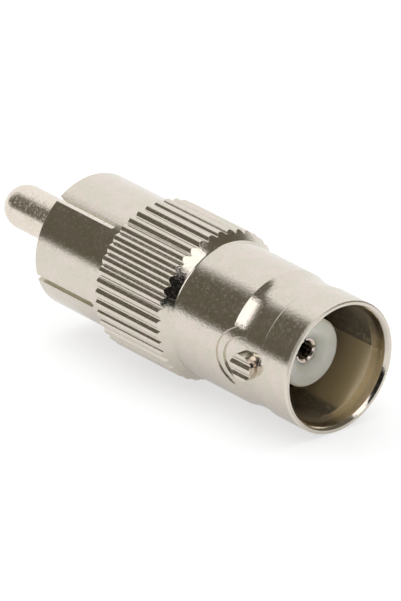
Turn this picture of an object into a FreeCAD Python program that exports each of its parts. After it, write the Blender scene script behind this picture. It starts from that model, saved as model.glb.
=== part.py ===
import FreeCAD, Part
import math
import os

# A bayonet jack to phono plug adapter, in millimetres.
# The axis of the adapter is X. The mouth of the jack is the plane x = 0 and opens towards +X,
# and the phono plug points towards -X. The two bayonet lugs point along +Y and -Y.
# A station is a distance behind the mouth, so a point at station s has x = -s.

# Barrel of the jack, whose walls stand round the socket's bore
socket_radius = 4.075
socket_depth = 8.40
ring_wall = 0.725
ring_length = 2.85
ring_edge = 0.08
ring_shoulder = 0.08
rim_width = 0.19
lead_rise = 0.19
lead_outer_slope = 50.0
lead_inner_slope = 27.0
mouth_taper_end = 1.30
waist_wall = 0.595
waist_length = 1.48
waist_groove_length = 0.07
waist_groove_depth = 0.035
step_slope = 16.0
barrel_wall = 0.805
barrel_length = 11.70

# Bayonet lugs and the milled relief round them
lug_radius = 1.00
lug_set_back = 1.20
lug_count = 2
lug_edge = 0.06
relief_outer_radius = 2.30
relief_inner_radius = 1.65
relief_step = 0.09
relief_set_back = 0.75

# Knurled collar
collar_rise = 0.60
collar_length = 6.36
collar_cone_angle = 35.0
collar_root_fillet = 0.35
tooth_count = 40
tooth_depth = 0.19
tooth_crown = 0.45
tooth_valley = 0.10
crown_limit = 0.95

# Inside of the body, behind the socket
web_thickness = 1.00
web_height = 1.00
sleeve_seat_depth = 4.00

# Ground sleeve of the plug
sleeve_bore_radius = 4.20
sleeve_wall = 0.675
sleeve_length = 7.04
sleeve_root_wall = 1.28
sleeve_floor = 0.60
sleeve_lip = 0.06
sleeve_bore_lead = 0.15
finger_slot_count = 5
finger_slot_width = 0.45
finger_slot_root = 1.10
finger_slot_turn = 126.8

# Insulators
nose_radius = 2.48
nose_set_back = 2.90
nose_edge = 0.15
nose_dish_radius = 1.50
plug_flange_length = 2.00
neck_radius = 2.98

# Centre conductors
contact_radius = 0.875
contact_set_back = 0.50
contact_bore_radius = 0.66
contact_bore_depth = 5.20
contact_lead = 0.10
contact_slot_count = 4
contact_slot_width = 0.20
contact_slot_length = 4.40
contact_slot_turn = 8.5
contact_flange_radius = 1.70
contact_flange_length = 1.50
contact_tail_radius = 0.70
contact_tail_length = 3.00
pin_radius = 1.59
pin_reach = 8.16
pin_shank_radius = 1.35

# Fits
slip = 0.02
end_gap = 0.05

# How far a cutting tool reaches past what it cuts
overreach = 1.0

# Radii that follow from the sizes above
ring_radius = socket_radius + ring_wall
waist_radius = socket_radius + waist_wall
barrel_radius = socket_radius + barrel_wall
collar_radius = barrel_radius + collar_rise
web_bore_radius = nose_radius + slip
rear_bore_radius = web_bore_radius + web_height
flange_radius = rear_bore_radius - slip
neck_bore_radius = neck_radius + slip
sleeve_root_radius = neck_bore_radius + sleeve_root_wall
sleeve_seat_radius = sleeve_root_radius + slip
sleeve_radius = sleeve_bore_radius + sleeve_wall

# Stations that follow from the sizes above
waist_start = ring_length
waist_end = waist_start + ring_shoulder + waist_length
step_angle = math.radians(step_slope)
step_length = (barrel_radius - waist_radius) / math.tan(step_angle / 2)
step_end = waist_end + step_length
lug_station = ring_length + lug_set_back
relief_station = lug_station + relief_set_back
cone_slope = math.radians(collar_cone_angle)
cone_length = (collar_radius - barrel_radius) / math.tan(cone_slope)
collar_start = barrel_length + cone_length
collar_end = collar_start + collar_length
web_end = socket_depth + web_thickness
seat_start = collar_end - sleeve_seat_depth
insulator_joint = seat_start - plug_flange_length
cup_floor = collar_end + sleeve_floor
sleeve_end = collar_end + sleeve_length
contact_start = nose_set_back + contact_set_back
contact_flange_start = insulator_joint - contact_flange_length
contact_tail_end = insulator_joint + contact_tail_length
pin_end = sleeve_end + pin_reach

x_axis = FreeCAD.Vector(1, 0, 0)
y_axis = FreeCAD.Vector(0, 1, 0)
centre = FreeCAD.Vector(0, 0, 0)


def at(station, radius):
    return FreeCAD.Vector(-station, radius, 0)


def line(start, end):
    return Part.LineSegment(at(*start), at(*end)).toShape()


def arc(start, middle, end):
    return Part.Arc(at(*start), at(*middle), at(*end)).toShape()


def turn_edges(edges):
    face = Part.Face(Part.Wire(edges))
    return face.revolve(centre, x_axis, 360)


def turn(points):
    """Revolves a closed outline of (station, radius) points about the axis."""
    closed = points + [points[0]]
    edges = [line(start, end) for start, end in zip(closed, closed[1:])]
    return turn_edges(edges)


def rod(radius, start, end):
    return Part.makeCylinder(radius, end - start, FreeCAD.Vector(-end, 0, 0), x_axis)


def turned_about_axis(shape, angle):
    copy = shape.copy()
    copy.rotate(centre, x_axis, angle)
    return copy


def tooth_edges(index):
    """One knurl tooth across the axis: a round crown, two straight flanks and a flat valley."""
    pitch = 2 * math.pi / tooth_count
    valley_radius = collar_radius - tooth_depth
    half_tooth = pitch / 2 - tooth_valley / (2 * valley_radius)
    valley_height = valley_radius * math.cos(half_tooth)
    valley_side = valley_radius * math.sin(half_tooth)
    fall = collar_radius - valley_height
    roundest_crown = (fall ** 2 + valley_side ** 2) / (2 * fall)
    crown = min(tooth_crown, crown_limit * roundest_crown)
    crown_centre = collar_radius - crown
    reach = math.hypot(valley_height - crown_centre, valley_side)
    lean = math.atan2(valley_side, valley_height - crown_centre)
    shoulder = lean - math.acos(crown / reach)
    shoulder_height = crown_centre + crown * math.cos(shoulder)
    shoulder_side = crown * math.sin(shoulder)
    next_tooth = FreeCAD.Vector(0, valley_height, -valley_side)
    next_tooth = FreeCAD.Rotation(x_axis, math.degrees(pitch)).multVec(next_tooth)
    outline = [
        (valley_height, -valley_side),
        (shoulder_height, -shoulder_side),
        (collar_radius, 0),
        (shoulder_height, shoulder_side),
        (valley_height, valley_side),
        (next_tooth.y, next_tooth.z),
    ]
    turn_to_tooth = FreeCAD.Rotation(x_axis, math.degrees(index * pitch))
    places = [turn_to_tooth.multVec(FreeCAD.Vector(0, y, z)) for y, z in outline]
    near_valley, near_shoulder, crest, far_shoulder, far_valley, next_valley = places
    return [
        Part.LineSegment(near_valley, near_shoulder).toShape(),
        Part.Arc(near_shoulder, crest, far_shoulder).toShape(),
        Part.LineSegment(far_shoulder, far_valley).toShape(),
        Part.LineSegment(far_valley, next_valley).toShape(),
    ]


def knurled_bar():
    """The straight-knurled bar that the collar and the lug ends are cut from."""
    edges = []
    for index in range(tooth_count):
        edges.extend(tooth_edges(index))
    section = Part.Face(Part.Wire(edges))
    return section.extrude(FreeCAD.Vector(-collar_end, 0, 0))


def barrel():
    """The turned outside of the jack, from the mouth to inside the collar."""
    edge_radius = ring_radius - ring_edge
    sweep_radius = step_length / math.sin(step_angle)
    sweep_middle = (
        waist_end + sweep_radius * math.sin(step_angle / 2),
        waist_radius + sweep_radius * (1 - math.cos(step_angle / 2)),
    )
    groove_start = waist_start + ring_shoulder
    shoulder_end = (groove_start, waist_radius - waist_groove_depth)
    groove_end = (groove_start + waist_groove_length, waist_radius)
    edges = [
        line((0, 0), (0, edge_radius)),
        line((0, edge_radius), (ring_edge, ring_radius)),
        line((ring_edge, ring_radius), (waist_start, ring_radius)),
        line((waist_start, ring_radius), shoulder_end),
        line(shoulder_end, groove_end),
        line(groove_end, (waist_end, waist_radius)),
        arc((waist_end, waist_radius), sweep_middle, (step_end, barrel_radius)),
        line((step_end, barrel_radius), (collar_start, barrel_radius)),
        line((collar_start, barrel_radius), (collar_start, 0)),
        line((collar_start, 0), (0, 0)),
    ]
    return turn_edges(edges)


def collar_blank():
    """The collar before knurling: a filleted cone in front and a long cylinder."""
    tangent = collar_root_fillet * math.tan(cone_slope / 2)
    fillet_start = barrel_length - tangent
    fillet_height = barrel_radius + collar_root_fillet
    half_slope = cone_slope / 2
    fillet_middle = (
        fillet_start + collar_root_fillet * math.sin(half_slope),
        fillet_height - collar_root_fillet * math.cos(half_slope),
    )
    fillet_end = (
        fillet_start + collar_root_fillet * math.sin(cone_slope),
        fillet_height - collar_root_fillet * math.cos(cone_slope),
    )
    crest = (collar_start, collar_radius)
    back = (collar_end, collar_radius)
    edges = [
        line((fillet_start, 0), (fillet_start, barrel_radius)),
        arc((fillet_start, barrel_radius), fillet_middle, fillet_end),
        line(fillet_end, crest),
        line(crest, back),
        line(back, (collar_end, 0)),
        line((collar_end, 0), (fillet_start, 0)),
    ]
    return turn_edges(edges)


def lug_directions():
    return [index * 360 / lug_count for index in range(lug_count)]


def lug_cylinder(radius, station, height):
    base = FreeCAD.Vector(-station, 0, 0)
    return Part.makeCylinder(radius, height, base, y_axis)


def lug(bar):
    """A round lug that reaches the knurled bar's surface, with a small broken edge."""
    edge_start = collar_radius - lug_edge
    crown_base = FreeCAD.Vector(-lug_station, edge_start, 0)
    crown = Part.makeCone(lug_radius, lug_radius - lug_edge, lug_edge, crown_base, y_axis)
    stem = lug_cylinder(lug_radius, lug_station, edge_start)
    return stem.fuse(crown).common(bar)


def relief():
    """The pocket that the cutter leaves round a lug, in two shallow steps."""
    height = collar_radius + overreach
    wide = lug_cylinder(relief_outer_radius, relief_station, height)
    narrow = lug_cylinder(relief_inner_radius, relief_station, height)
    span_start = relief_station - relief_outer_radius - overreach
    span_end = relief_station + relief_outer_radius + overreach
    first_floor = rod(barrel_radius - relief_step, span_start, span_end)
    second_floor = rod(waist_radius, span_start, span_end)
    pocket = wide.cut(first_floor).fuse(narrow.cut(second_floor))
    ring = rod(height + overreach, span_start, waist_end)
    return pocket.cut(ring)


def body_bores():
    """Everything that is bored out of the body, from the rounded way in at the mouth to the back."""
    rim_radius = ring_radius - ring_edge - rim_width
    outer_slope = math.radians(lead_outer_slope)
    inner_slope = math.radians(lead_inner_slope)
    middle_slope = (outer_slope + inner_slope) / 2
    rounding = lead_rise / (math.cos(inner_slope) - math.cos(outer_slope))
    lead_middle = (
        rounding * (math.sin(outer_slope) - math.sin(middle_slope)),
        rim_radius - rounding * (math.cos(middle_slope) - math.cos(outer_slope)),
    )
    lead_length = rounding * (math.sin(outer_slope) - math.sin(inner_slope))
    lead_end = (lead_length, rim_radius - lead_rise)
    outline = [
        lead_end,
        (mouth_taper_end, socket_radius),
        (socket_depth, socket_radius),
        (socket_depth, web_bore_radius),
        (web_end, web_bore_radius),
        (web_end, rear_bore_radius),
        (seat_start, rear_bore_radius),
        (seat_start, sleeve_seat_radius),
        (collar_end, sleeve_seat_radius),
        (collar_end, 0),
        (0, 0),
        (0, rim_radius),
    ]
    edges = [line(first, second) for first, second in zip(outline, outline[1:])]
    edges.append(arc((0, rim_radius), lead_middle, lead_end))
    return turn_edges(edges)


def jack_body():
    bar = knurled_bar()
    body = barrel()
    for direction in lug_directions():
        body = body.cut(turned_about_axis(relief(), direction))
    body = body.removeSplitter().fuse(collar_blank().common(bar))
    for direction in lug_directions():
        body = body.fuse(turned_about_axis(lug(bar), direction))
    return body.removeSplitter().cut(body_bores())


def rca_sleeve():
    """The slotted ground sleeve, with a root that is pressed into the back of the collar."""
    root_start = seat_start + end_gap
    outline = [
        (root_start, neck_bore_radius),
        (root_start, sleeve_root_radius),
        (collar_end, sleeve_root_radius),
        (collar_end, sleeve_radius),
        (sleeve_end - sleeve_lip, sleeve_radius),
        (sleeve_end, sleeve_radius - sleeve_lip),
        (sleeve_end, sleeve_bore_radius + sleeve_bore_lead),
        (sleeve_end - sleeve_bore_lead, sleeve_bore_radius),
        (cup_floor, sleeve_bore_radius),
        (cup_floor, neck_bore_radius),
    ]
    sleeve = turn(outline)
    for index in range(finger_slot_count):
        angle = finger_slot_turn + index * 360 / finger_slot_count
        sleeve = sleeve.cut(turned_about_axis(finger_slot(), angle))
    return sleeve


def finger_slot():
    """One slot in the sleeve, cut from its open end, with a round inner end."""
    half = finger_slot_width / 2
    root = collar_end + finger_slot_root + half
    height = sleeve_radius + overreach
    mouth = sleeve_end + overreach
    corner = FreeCAD.Vector(-mouth, 0, -half)
    channel = Part.makeBox(mouth - root, height, finger_slot_width, corner)
    round_end = Part.makeCylinder(half, height, FreeCAD.Vector(-root, 0, 0), y_axis)
    return channel.fuse(round_end)


def jack_insulator():
    """The white nose of the jack, dished round the contact, with a flange behind the web."""
    hole_radius = contact_radius + slip
    counterbore_radius = contact_flange_radius + slip
    counterbore_start = contact_flange_start - slip
    outline = [
        (contact_start, hole_radius),
        (nose_set_back, nose_dish_radius),
        (nose_set_back, nose_radius - nose_edge),
        (nose_set_back + nose_edge, nose_radius),
        (web_end, nose_radius),
        (web_end, flange_radius),
        (insulator_joint, flange_radius),
        (insulator_joint, counterbore_radius),
        (counterbore_start, counterbore_radius),
        (counterbore_start, hole_radius),
    ]
    return turn(outline)


def plug_insulator():
    """The disc that centres the pin, with a neck inside the sleeve's root."""
    hole_radius = pin_shank_radius + slip
    outline = [
        (insulator_joint, hole_radius),
        (insulator_joint, flange_radius),
        (seat_start, flange_radius),
        (seat_start, neck_radius),
        (cup_floor, neck_radius),
        (cup_floor, hole_radius),
    ]
    return turn(outline)


def socket_contact():
    """The female contact: a slotted tube, a flange and a tail that is pressed into the pin."""
    bore_end = contact_start + contact_bore_depth
    outline = [
        (contact_start, contact_bore_radius + contact_lead),
        (contact_start, contact_radius),
        (contact_flange_start, contact_radius),
        (contact_flange_start, contact_flange_radius),
        (insulator_joint, contact_flange_radius),
        (insulator_joint, contact_tail_radius),
        (contact_tail_end, contact_tail_radius),
        (contact_tail_end, 0),
        (bore_end, 0),
        (bore_end, contact_bore_radius),
        (contact_start + contact_lead, contact_bore_radius),
    ]
    contact = turn(outline)
    corner = FreeCAD.Vector(-contact_start - contact_slot_length, 0, -contact_slot_width / 2)
    reach = contact_slot_length + overreach
    slot = Part.makeBox(reach, contact_radius + overreach, contact_slot_width, corner)
    for index in range(contact_slot_count):
        angle = contact_slot_turn + index * 360 / contact_slot_count
        contact = contact.cut(turned_about_axis(slot, angle))
    return contact


def centre_pin():
    """The solid phono pin, with a shank in the insulator that takes the contact's tail."""
    hole_radius = contact_tail_radius + slip
    hole_end = contact_tail_end + end_gap
    round_start = pin_end - pin_radius
    diagonal = pin_radius / math.sqrt(2)
    round_middle = (round_start + diagonal, diagonal)
    edges = [
        line((insulator_joint, hole_radius), (insulator_joint, pin_shank_radius)),
        line((insulator_joint, pin_shank_radius), (cup_floor, pin_shank_radius)),
        line((cup_floor, pin_shank_radius), (cup_floor, pin_radius)),
        line((cup_floor, pin_radius), (round_start, pin_radius)),
        arc((round_start, pin_radius), round_middle, (pin_end, 0)),
        line((pin_end, 0), (hole_end, 0)),
        line((hole_end, 0), (hole_end, hole_radius)),
        line((hole_end, hole_radius), (insulator_joint, hole_radius)),
    ]
    return turn_edges(edges)


pieces = {
    "jack_body": jack_body(),
    "rca_sleeve": rca_sleeve(),
    "jack_insulator": jack_insulator(),
    "plug_insulator": plug_insulator(),
    "socket_contact": socket_contact(),
    "centre_pin": centre_pin(),
}

os.makedirs("parts", exist_ok=True)
for name, shape in pieces.items():
    shape.exportStep("parts/" + name + ".step")
    print(name, "solids", len(shape.Solids), "valid", shape.isValid())
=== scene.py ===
import math

import bmesh
import bpy
from mathutils import Matrix, Vector

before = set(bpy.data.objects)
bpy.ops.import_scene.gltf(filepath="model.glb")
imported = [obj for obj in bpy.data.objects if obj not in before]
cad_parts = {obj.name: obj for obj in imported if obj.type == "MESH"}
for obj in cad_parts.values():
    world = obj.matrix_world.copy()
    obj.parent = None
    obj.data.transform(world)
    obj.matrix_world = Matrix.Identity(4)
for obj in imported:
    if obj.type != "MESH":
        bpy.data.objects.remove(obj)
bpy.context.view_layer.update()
scene = bpy.context.scene
mm = 0.001
white = (1, 1, 1, 1)

# The floor touches the rim of the mouth and the front crest of the collar
ring_radius = 4.80 * mm
collar_crest_station = 12.557 * mm
collar_radius = 5.48 * mm
floor_rise = math.atan2(collar_radius - ring_radius, collar_crest_station)
floor_half_width = 1.5
floor_cells = 4

# Camera, as the photograph was taken
view_azimuth = math.radians(47.816)
view_elevation = math.radians(24.830)
view_roll = math.radians(-2.341)
view_distance = 709.46 * mm
view_target = Vector((-14.062, -0.140, -0.203)) * mm
lens_length = 622.37
sensor_size = 36.0
near_clip = 0.05
far_clip = 10

# Light that falls on matte surfaces
sky_strength = 0.30
window_direction = Vector((-0.50, 0.10, 0.85))
window_distance = 0.80
window_size = 1.80
window_power = 18.0

# White paper: its own glow, as the camera and as the metal see it, and its painted shade near the
# object
paper_colour = (0.98, 0.98, 0.98, 1)
paper_glow = 0.58
paper_camera_glow = 0.14
paper_camera_white = 1.03
paper_mirrored = 0.78
contact_reach = 4.0 * mm
contact_shade = 0.86
contact_samples = 12

# What the metal mirrors: a dark ceiling and two white softboxes, in metres
card_colour = (0.134, 0.124, 0.094, 1)
lens_card_colour = (0.012, 0.011, 0.010, 1)
ceiling_height = 1.45
ceiling_radius = 0.72
ceiling_sides = 64
softbox_glow = 1.6
top_softbox_direction = Vector((0.4925, -0.185, 0.850))
top_softbox_long_side = Vector((0.872, 0.279, -0.401))
top_softbox_size = (1.06, 0.62)
top_softbox_distance = 1.0
side_softbox_direction = Vector((-0.33, -0.665, 0.67))
side_softbox_long_side = Vector((0.0, 0.703, 0.711))
side_softbox_size = (0.385, 0.195)
side_softbox_distance = 0.5

# Dark upright cards round the object, in metres, with bearings from the axis in degrees
card_foot = -0.06
card_steps = 24
side_card = {
    "radius": 0.60, "bearing": (180, 274), "bearing_fade": (24, 4),
    "height": 1.6, "height_fade": 0.3, "foot_fade": 0.11,
}
right_card = {
    "radius": 0.62, "bearing": (2, 105), "bearing_fade": (12, 12),
    "height": 1.5, "height_fade": 0.1, "foot_fade": 0.01,
}
lens_card = {
    "radius": 0.50, "bearing": (270, 350), "bearing_fade": (3, 6),
    "height": 0.56, "height_fade": 0.04, "foot_fade": 0.01,
}

# Colours of the materials, and dark colours that paint shade deep in bores and in the sleeve's slots
warm_nickel = (0.755, 0.672, 0.605, 1)
cool_nickel = (0.700, 0.662, 0.560, 1)
worn_edge_nickel = (0.87, 0.81, 0.71, 1)
dull_nickel = (0.50, 0.45, 0.38, 1)
warm_pin = (0.85, 0.775, 0.68, 1)
cool_pin = (0.81, 0.735, 0.63, 1)
bore_nickel = (0.96, 0.83, 0.62, 1)
painted_shade_contact_hole = (0.02, 0.018, 0.015, 1)
painted_deep_shade = (0.06, 0.045, 0.03, 1)
painted_slot_shade = (0.55, 0.515, 0.42, 1)
contact_tint = (0.78, 0.68, 0.62, 1)
milk_light = (0.80, 0.805, 0.74, 1)
milk_dark = (0.70, 0.715, 0.63, 1)

# Mottle of the plate: sizes in mm, details of the noise, and the part of the noise that counts
cloud_size = 1.1
cloud_detail = 3.0
cloud_range = (0.35, 0.65)
grain_size = 0.17
grain_detail = 2.0
spot_size = 0.20
spot_detail = 1.0
spot_range = (0.50, 0.68)
dull_range = (0.45, 0.70)
dull_share = 0.14

# Turning lines: pitch and sway in mm, and their height beside that of the grain
line_pitch = 0.07
line_detail = 2.0
line_height = 0.30
sway_reach = 0.12
sway_scale = 0.5

# Edges: where the softened normal leaves the true one, and what wear does there
edge_radius = 0.03 * mm
edge_samples = 6
edge_range = (0.90, 0.995)
edge_roughness = 0.25
rim_roughness = 0.30
rim_wear = 2.0

# Zones inside the bores: radius and depth behind the mouth in mm, and what changes there, some of it
# painted shade
bore_fade = 0.35
bore_calm = 0.85
socket_bore = {"radius": 4.45, "depth": 0.60, "colour": bore_nickel, "matte": 0.13, "rough": 0.0}
# Painted shade: inside the contact's hole the plate is coloured almost black and partly matte.
contact_bore = {"radius": 0.69, "depth": 5.85, "colour": painted_shade_contact_hole, "matte": 0.50, "rough": 0.30}
mouth_rim = {"radius": 4.70, "depth": 0.02}
# Painted shade: deep in the jack's bore the plate is coloured almost black.
painted_shade_deep_bore = {"radius": 4.45, "depth": 5.7, "colour": painted_deep_shade}
# Painted shade: the slot walls and the inside of the sleeve are coloured darker than the plate.
painted_shade_sleeve_inside = {"radius": 4.84, "depth": 0.0, "colour": painted_slot_shade}

# Milky plastic
milk_cloud_size = 1.6
milk_grain_size = 0.2
milk_grain_range = (0.2, 0.8)
milk_roughness = (0.26, 0.42)
milk_edge_radius = 0.11 * mm
milk_scatter = 1.6 * mm
milk_scatter_colour = (1.0, 0.98, 0.88)
milk_bump = 0.003 * mm


def add_node(tree, kind, **settings):
    node = tree.nodes.new(kind)
    for name, value in settings.items():
        setattr(node, name, value)
    return node


def maths(tree, operation, first, second=None):
    node = add_node(tree, "ShaderNodeMath", operation=operation)
    for index, value in enumerate((first, second)):
        if value is None:
            continue
        if isinstance(value, (int, float)):
            node.inputs[index].default_value = value
        else:
            tree.links.new(value, node.inputs[index])
    return node.outputs[0]


def remap(tree, value, low, high, to_low=0.0, to_high=1.0):
    node = add_node(tree, "ShaderNodeMapRange", interpolation_type="SMOOTHSTEP")
    tree.links.new(value, node.inputs["Value"])
    node.inputs["From Min"].default_value = low
    node.inputs["From Max"].default_value = high
    node.inputs["To Min"].default_value = to_low
    node.inputs["To Max"].default_value = to_high
    return node.outputs["Result"]


def split_axes(tree, vector):
    parts = add_node(tree, "ShaderNodeSeparateXYZ")
    tree.links.new(vector, parts.inputs[0])
    return parts.outputs


def glow_node(tree, colour):
    glow = add_node(tree, "ShaderNodeEmission")
    glow.inputs["Color"].default_value = colour
    return glow


def mix_shaders(tree, share, first, second):
    mix = add_node(tree, "ShaderNodeMixShader")
    tree.links.new(share, mix.inputs[0])
    tree.links.new(first.outputs[0], mix.inputs[1])
    tree.links.new(second.outputs[0], mix.inputs[2])
    return mix


def add_bump(tree, shader, height, distance, normal):
    bump = add_node(tree, "ShaderNodeBump")
    bump.inputs["Distance"].default_value = distance
    tree.links.new(height, bump.inputs["Height"])
    tree.links.new(normal, bump.inputs["Normal"])
    tree.links.new(bump.outputs[0], shader.inputs["Normal"])


def set_surface(tree, shader, kind="ShaderNodeOutputMaterial"):
    output = add_node(tree, kind)
    tree.links.new(shader.outputs[0], output.inputs["Surface"])


def seen_rays(tree):
    """1 for rays from the camera and for rays that metal or glass sends out."""
    path = add_node(tree, "ShaderNodeLightPath")
    direct = maths(tree, "MAXIMUM", path.outputs["Is Camera Ray"], path.outputs["Is Glossy Ray"])
    return maths(tree, "MAXIMUM", direct, path.outputs["Is Transmission Ray"])


def empty_material(name):
    material = bpy.data.materials.new(name)
    material.use_nodes = True
    material.node_tree.nodes.clear()
    return material, material.node_tree


def new_piece(name, shape, material):
    mesh = bpy.data.meshes.new(name)
    shape.to_mesh(mesh)
    shape.free()
    piece = bpy.data.objects.new(name, mesh)
    piece.data.materials.append(material)
    scene.collection.objects.link(piece)
    return piece


def make_world():
    """A white room that lights matte surfaces only softly."""
    world = bpy.data.worlds.new("studio")
    world.use_nodes = True
    scene.world = world
    tree = world.node_tree
    tree.nodes.clear()
    background = add_node(tree, "ShaderNodeBackground")
    background.inputs["Color"].default_value = white
    strength = remap(tree, seen_rays(tree), 0, 1, sky_strength, 1.0)
    tree.links.new(strength, background.inputs["Strength"])
    set_surface(tree, background, "ShaderNodeOutputWorld")


def paper_material():
    """Matte paper with a share of glow; the glow is darkened where the object is near, a painted
    contact shadow.
    """
    material, tree = empty_material("white_paper")
    matte = add_node(tree, "ShaderNodeBsdfDiffuse")
    matte.inputs["Color"].default_value = paper_colour
    glow = glow_node(tree, white)
    path = add_node(tree, "ShaderNodeLightPath")
    in_camera = path.outputs["Is Camera Ray"]
    strength = remap(tree, in_camera, 0, 1, paper_mirrored, paper_camera_white)
    # Painted shadow: the glow is dimmed where the object is near.
    nearness = add_node(tree, "ShaderNodeAmbientOcclusion", samples=contact_samples)
    nearness.inputs["Distance"].default_value = contact_reach
    shade = remap(tree, nearness.outputs["AO"], 0, 1, contact_shade, 1.0)
    strength = maths(tree, "MULTIPLY", strength, shade)
    tree.links.new(strength, glow.inputs["Strength"])
    share = maths(tree, "MULTIPLY", seen_rays(tree), paper_glow)
    share = maths(tree, "ADD", share, maths(tree, "MULTIPLY", in_camera, paper_camera_glow))
    set_surface(tree, mix_shaders(tree, share, matte, glow))
    return material


def make_floor():
    shape = bmesh.new()
    bmesh.ops.create_grid(
        shape, x_segments=floor_cells, y_segments=floor_cells, size=floor_half_width,
    )
    tilt = Matrix.Rotation(-floor_rise, 4, "Y")
    bmesh.ops.transform(shape, matrix=tilt, verts=shape.verts)
    bmesh.ops.translate(shape, vec=Vector((0, 0, -ring_radius)), verts=shape.verts)
    floor = new_piece("paper_floor", shape, paper_material())


def card_material(name, colour, bearing, bearing_fade, height, height_fade, foot_fade):
    """A dark card that fades into the white of the room all round."""
    material, tree = empty_material(name)
    place = add_node(tree, "ShaderNodeTexCoord")
    parts = split_axes(tree, place.outputs["Object"])
    back_x = maths(tree, "MULTIPLY", parts["X"], -1.0)
    back_y = maths(tree, "MULTIPLY", parts["Y"], -1.0)
    turn = maths(tree, "ARCTAN2", back_y, back_x)
    side = maths(tree, "ADD", turn, math.pi)
    start, end = bearing
    start_fade, end_fade = bearing_fade
    after_start = remap(tree, side, math.radians(start), math.radians(start + start_fade))
    before_end = remap(tree, side, math.radians(end - end_fade), math.radians(end), 1.0, 0.0)
    below_top = remap(tree, parts["Z"], height - height_fade, height, 1.0, 0.0)
    above_foot = remap(tree, parts["Z"], card_foot, card_foot + foot_fade)
    sides = maths(tree, "MULTIPLY", after_start, before_end)
    cover = maths(tree, "MULTIPLY", sides, maths(tree, "MULTIPLY", below_top, above_foot))
    clear = add_node(tree, "ShaderNodeBsdfTransparent")
    set_surface(tree, mix_shaders(tree, cover, clear, glow_node(tree, colour)))
    return material


def make_card(name, colour, radius, bearing, bearing_fade, height, height_fade, foot_fade):
    """An upright curved card round the object, seen only in reflections."""
    shape = bmesh.new()
    foot = shape.verts.new((radius, 0, card_foot))
    head = shape.verts.new((radius, 0, height))
    edge = shape.edges.new((foot, head))
    start, end = bearing
    turned = Matrix.Rotation(math.radians(start), 3, "Z")
    bmesh.ops.rotate(shape, cent=(0, 0, 0), matrix=turned, verts=[foot, head])
    bmesh.ops.spin(
        shape, geom=[foot, head, edge], cent=(0, 0, 0), axis=(0, 0, 1),
        angle=math.radians(end - start), steps=card_steps, use_merge=False,
    )
    finish = card_material(name, colour, bearing, bearing_fade, height, height_fade, foot_fade)
    show_in_reflections_only(new_piece(name, shape, finish))


def glow_material(name, colour, strength):
    material, tree = empty_material(name)
    glow = glow_node(tree, colour)
    glow.inputs["Strength"].default_value = strength
    set_surface(tree, glow)
    return material


def show_in_reflections_only(piece):
    piece.visible_camera = False
    piece.visible_diffuse = False
    piece.visible_shadow = False


def make_softbox(name, direction, long_side, size, distance):
    """A flat white sheet that faces the object and is seen only in reflections."""
    away = direction.normalized()
    across = away.cross(long_side).normalized()
    along = across.cross(away)
    turned = Matrix((along, across, away)).transposed().to_4x4()
    half_unit = 0.5
    shape = bmesh.new()
    bmesh.ops.create_grid(shape, x_segments=1, y_segments=1, size=half_unit)
    bmesh.ops.scale(shape, vec=Vector((size[0], size[1], 1)), verts=shape.verts)
    bmesh.ops.transform(shape, matrix=turned, verts=shape.verts)
    bmesh.ops.translate(shape, vec=away * distance, verts=shape.verts)
    sheet = new_piece(name, shape, glow_material(name, white, softbox_glow))
    show_in_reflections_only(sheet)


def make_ceiling():
    """A dark round ceiling, seen only in reflections."""
    shape = bmesh.new()
    bmesh.ops.create_circle(
        shape, cap_ends=True, segments=ceiling_sides, radius=ceiling_radius,
    )
    bmesh.ops.translate(shape, vec=Vector((0, 0, ceiling_height)), verts=shape.verts)
    sheet = new_piece("ceiling", shape, glow_material("ceiling", card_colour, 1.0))
    show_in_reflections_only(sheet)


def make_window():
    """A wide soft lamp that metal doesn't mirror."""
    lamp = bpy.data.lights.new("window", "AREA")
    lamp.shape = "SQUARE"
    lamp.size = window_size
    lamp.energy = window_power
    holder = bpy.data.objects.new("window", lamp)
    away = window_direction.normalized()
    holder.location = away * window_distance
    holder.rotation_euler = away.to_track_quat("Z", "Y").to_euler()
    holder.visible_camera = False
    holder.visible_glossy = False
    scene.collection.objects.link(holder)


def make_camera():
    lens = bpy.data.cameras.new("camera")
    lens.sensor_width = sensor_size
    lens.lens = lens_length
    lens.clip_start = near_clip
    lens.clip_end = far_clip
    camera = bpy.data.objects.new("camera", lens)
    back = Vector((
        math.sin(view_azimuth) * math.cos(view_elevation),
        -math.cos(view_azimuth) * math.cos(view_elevation),
        math.sin(view_elevation),
    ))
    upright = back.to_track_quat("Z", "Y").to_matrix()
    roll = Matrix.Rotation(-view_roll, 3, back)
    place = (roll @ upright).to_4x4()
    place.translation = view_target + back * view_distance
    camera.matrix_world = place
    scene.collection.objects.link(camera)
    scene.camera = camera


def new_group(name, inputs, outputs):
    """A node group with named float inputs and named outputs."""
    group = bpy.data.node_groups.new(name, "ShaderNodeTree")
    for label, value in inputs:
        socket = group.interface.new_socket(name=label, in_out="INPUT", socket_type="NodeSocketFloat")
        socket.default_value = value
    for label, kind in outputs:
        group.interface.new_socket(name=label, in_out="OUTPUT", socket_type=kind)
    entry = add_node(group, "NodeGroupInput")
    leave = add_node(group, "NodeGroupOutput")
    return group, entry, leave


def use_group(tree, group, **values):
    node = add_node(tree, "ShaderNodeGroup", node_tree=group)
    for name, value in values.items():
        node.inputs[name.replace("_", " ")].default_value = value
    return node


def place_in_mm(tree):
    place = add_node(tree, "ShaderNodeTexCoord")
    scaled = add_node(tree, "ShaderNodeVectorMath", operation="SCALE")
    scaled.inputs["Scale"].default_value = 1 / mm
    tree.links.new(place.outputs["Object"], scaled.inputs[0])
    return scaled.outputs[0]


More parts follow.
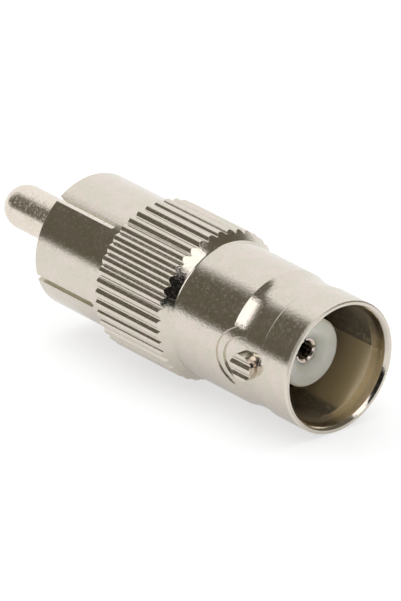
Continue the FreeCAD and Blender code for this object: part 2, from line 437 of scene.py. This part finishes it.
def noise(tree, vector, scale, detail):
    """Soft noise from 0 to 1, where scale is a number or a socket."""
    node = add_node(tree, "ShaderNodeTexNoise")
    tree.links.new(vector, node.inputs["Vector"])
    node.inputs["Detail"].default_value = detail
    if isinstance(scale, (int, float)):
        node.inputs["Scale"].default_value = scale
    else:
        tree.links.new(scale, node.inputs["Scale"])
    return node.outputs["Fac"]


def mix_colours(tree, share, first, second):
    node = add_node(tree, "ShaderNodeMix", data_type="RGBA")
    tree.links.new(share, node.inputs["Factor"])
    for value, socket in ((first, node.inputs[6]), (second, node.inputs[7])):
        if isinstance(value, tuple):
            socket.default_value = value
        else:
            tree.links.new(value, socket)
    return node.outputs[2]


def make_plate_group():
    """Mottle of a tumbled nickel plate: large clouds, fine grain and small dull spots."""
    value = "NodeSocketFloat"
    inputs = [("Cloud Size", cloud_size), ("Grain Size", grain_size), ("Spot Size", spot_size)]
    outputs = [("Cloud", value), ("Grain", value), ("Spots", value)]
    group, entry, leave = new_group("plate_mottle", inputs, outputs)
    sizes = entry.outputs
    place = place_in_mm(group)
    cloud = noise(group, place, maths(group, "DIVIDE", 1.0, sizes["Cloud Size"]), cloud_detail)
    grain = noise(group, place, maths(group, "DIVIDE", 1.0, sizes["Grain Size"]), grain_detail)
    spots = noise(group, place, maths(group, "DIVIDE", 1.0, sizes["Spot Size"]), spot_detail)
    group.links.new(remap(group, cloud, *cloud_range), leave.inputs["Cloud"])
    group.links.new(grain, leave.inputs["Grain"])
    group.links.new(remap(group, spots, *spot_range), leave.inputs["Spots"])
    return group


def make_turning_group():
    """Fine rings left by the lathe, uneven along the axis."""
    inputs = [("Pitch", line_pitch)]
    outputs = [("Lines", "NodeSocketFloat")]
    group, entry, leave = new_group("turning_lines", inputs, outputs)
    place = place_in_mm(group)
    parts = split_axes(group, place)
    sway = maths(group, "MULTIPLY", noise(group, place, sway_scale, 0.0), sway_reach)
    along = maths(group, "ADD", parts["X"], sway)
    step = maths(group, "DIVIDE", along, entry.outputs["Pitch"])
    lines = add_node(group, "ShaderNodeTexNoise", noise_dimensions="1D")
    lines.inputs["Scale"].default_value = 1.0
    lines.inputs["Detail"].default_value = line_detail
    group.links.new(step, lines.inputs["W"])
    group.links.new(lines.outputs["Fac"], leave.inputs["Lines"])
    return group


def make_edge_group():
    """Rounds the look of sharp edges and marks where they are."""
    inputs = [("Radius", edge_radius)]
    outputs = [("Normal", "NodeSocketVector"), ("Edge", "NodeSocketFloat")]
    group, entry, leave = new_group("edge_touch", inputs, outputs)
    soft = add_node(group, "ShaderNodeBevel", samples=edge_samples)
    group.links.new(entry.outputs["Radius"], soft.inputs["Radius"])
    shape = add_node(group, "ShaderNodeNewGeometry")
    alike = add_node(group, "ShaderNodeVectorMath", operation="DOT_PRODUCT")
    group.links.new(soft.outputs[0], alike.inputs[0])
    group.links.new(shape.outputs["Normal"], alike.inputs[1])
    edge = remap(group, alike.outputs["Value"], *edge_range, 1.0, 0.0)
    group.links.new(soft.outputs[0], leave.inputs["Normal"])
    group.links.new(edge, leave.inputs["Edge"])
    return group


def make_bore_group():
    """Inside: within a radius, past a depth. Corner: beyond the radius, before the depth."""
    inputs = [("Radius", 0.0), ("Depth", 0.0)]
    outputs = [("Inside", "NodeSocketFloat"), ("Corner", "NodeSocketFloat")]
    group, entry, leave = new_group("bore_mask", inputs, outputs)
    parts = split_axes(group, place_in_mm(group))
    side = maths(group, "MULTIPLY", parts["Y"], parts["Y"])
    height = maths(group, "MULTIPLY", parts["Z"], parts["Z"])
    radius = maths(group, "SQRT", maths(group, "ADD", side, height))
    narrow = maths(group, "LESS_THAN", radius, entry.outputs["Radius"])
    station = maths(group, "MULTIPLY", parts["X"], -1.0)
    behind = maths(group, "SUBTRACT", station, entry.outputs["Depth"])
    deep = remap(group, behind, 0.0, bore_fade)
    group.links.new(maths(group, "MULTIPLY", narrow, deep), leave.inputs["Inside"])
    wide = maths(group, "SUBTRACT", 1.0, narrow)
    shallow = maths(group, "SUBTRACT", 1.0, deep)
    group.links.new(maths(group, "MULTIPLY", wide, shallow), leave.inputs["Corner"])
    return group


def zone_mask(tree, zone, part):
    mask = use_group(tree, bore_group, Radius=zone["radius"], Depth=zone["depth"])
    return mask.outputs[part]


def metal_material(name, colours, roughness, edge_size, spots, grain, bore=None, rim=None, deep=None):
    """Plated metal: mottle, turning lines and worn edges, and zones with a look of their own, among
    them painted shade in bores and slots.
    """
    material, tree = empty_material(name)
    metal = add_node(tree, "ShaderNodeBsdfPrincipled")
    metal.inputs["Metallic"].default_value = 1.0
    mottle = use_group(tree, plate_group)
    turning = use_group(tree, turning_group)
    edge = use_group(tree, edge_group, Radius=edge_size)
    worn = edge.outputs["Edge"]
    warm, cool = colours
    colour = mix_colours(tree, mottle.outputs["Cloud"], warm, cool)
    dull_grain = remap(tree, mottle.outputs["Grain"], *dull_range, 0.0, dull_share)
    colour = mix_colours(tree, dull_grain, colour, dull_nickel)
    bright_edge = maths(tree, "MULTIPLY", worn, mottle.outputs["Grain"])
    colour = mix_colours(tree, bright_edge, colour, worn_edge_nickel)
    dull = maths(tree, "MULTIPLY", mottle.outputs["Spots"], spots)
    blunt = maths(tree, "MULTIPLY", worn, edge_roughness)
    rough = maths(tree, "ADD", maths(tree, "ADD", dull, blunt), roughness)
    if rim:
        corner = zone_mask(tree, rim, "Corner")
        colour = mix_colours(tree, corner, colour, worn_edge_nickel)
        rough = maths(tree, "ADD", rough, maths(tree, "MULTIPLY", corner, rim_roughness))
        worn = maths(tree, "ADD", worn, maths(tree, "MULTIPLY", corner, rim_wear))
    # The bore zone recolours the inside: brass-coloured plate in the socket, painted shade in the
    # contact's hole.
    if bore:
        inside = zone_mask(tree, bore, "Inside")
        colour = mix_colours(tree, inside, colour, bore["colour"])
        rough = maths(tree, "ADD", rough, maths(tree, "MULTIPLY", inside, bore["rough"]))
        metal_share = remap(tree, inside, 0.0, 1.0, 1.0, 1.0 - bore["matte"])
        tree.links.new(metal_share, metal.inputs["Metallic"])
        smooth = maths(tree, "SUBTRACT", 1.0, maths(tree, "MULTIPLY", inside, bore_calm))
    # Painted shade: the deep zone takes a dark colour where shade falls in bores and slots.
    if deep:
        colour = mix_colours(tree, zone_mask(tree, deep, "Inside"), colour, deep["colour"])
    tree.links.new(colour, metal.inputs["Base Color"])
    tree.links.new(rough, metal.inputs["Roughness"])
    lines = maths(tree, "MULTIPLY", turning.outputs["Lines"], line_height)
    height = maths(tree, "ADD", mottle.outputs["Grain"], lines)
    height = maths(tree, "MULTIPLY", height, maths(tree, "ADD", worn, 1.0))
    if bore:
        height = maths(tree, "MULTIPLY", height, smooth)
    add_bump(tree, metal, height, grain * mm, edge.outputs["Normal"])
    set_surface(tree, metal)
    return material


def plastic_material(name):
    """Milky plastic that lets some light in."""
    material, tree = empty_material(name)
    plastic = add_node(tree, "ShaderNodeBsdfPrincipled")
    mottle = use_group(tree, plate_group, Cloud_Size=milk_cloud_size, Grain_Size=milk_grain_size)
    edge = use_group(tree, edge_group, Radius=milk_edge_radius)
    colour = mix_colours(tree, mottle.outputs["Cloud"], milk_light, milk_dark)
    tree.links.new(colour, plastic.inputs["Base Color"])
    rough = remap(tree, mottle.outputs["Grain"], *milk_grain_range, *milk_roughness)
    tree.links.new(rough, plastic.inputs["Roughness"])
    plastic.inputs["Subsurface Weight"].default_value = 1.0
    plastic.inputs["Subsurface Scale"].default_value = milk_scatter
    plastic.inputs["Subsurface Radius"].default_value = milk_scatter_colour
    add_bump(tree, plastic, mottle.outputs["Grain"], milk_bump, edge.outputs["Normal"])
    set_surface(tree, plastic)
    return material


def dress(node_name, material):
    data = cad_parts[node_name].data
    data.materials.clear()
    data.materials.append(material)


make_world()
make_floor()
make_card("side_card", card_colour, **side_card)
make_card("right_card", card_colour, **right_card)
make_card("lens_card", lens_card_colour, **lens_card)
make_ceiling()
make_softbox(
    "top_softbox", top_softbox_direction, top_softbox_long_side,
    top_softbox_size, top_softbox_distance,
)
make_softbox(
    "side_softbox", side_softbox_direction, side_softbox_long_side,
    side_softbox_size, side_softbox_distance,
)
make_window()
make_camera()

plate_group = make_plate_group()
turning_group = make_turning_group()
edge_group = make_edge_group()
bore_group = make_bore_group()

body_nickel = metal_material(
    "bright_nickel", (warm_nickel, cool_nickel), roughness=0.14, edge_size=edge_radius,
    spots=0.10, grain=0.0058, bore=socket_bore, rim=mouth_rim, deep=painted_shade_deep_bore,
)
sleeve_nickel = metal_material(
    "sleeve_nickel", (warm_nickel, cool_nickel), roughness=0.14, edge_size=edge_radius,
    spots=0.08, grain=0.0058, deep=painted_shade_sleeve_inside,
)
pin_nickel = metal_material(
    "pin_nickel", (warm_pin, cool_pin), roughness=0.22, edge_size=edge_radius,
    spots=0.22, grain=0.0068,
)
contact_silver = metal_material(
    "contact_silver", (contact_tint, contact_tint), roughness=0.18, edge_size=0.02 * mm,
    spots=0.10, grain=0.003, bore=contact_bore,
)
white_insulator = plastic_material("milky_insulator")

dress("jack_body", body_nickel)
dress("rca_sleeve", sleeve_nickel)
dress("centre_pin", pin_nickel)
dress("socket_contact", contact_silver)
dress("jack_insulator", white_insulator)
dress("plug_insulator", white_insulator)

scene.view_settings.view_transform = "Standard"
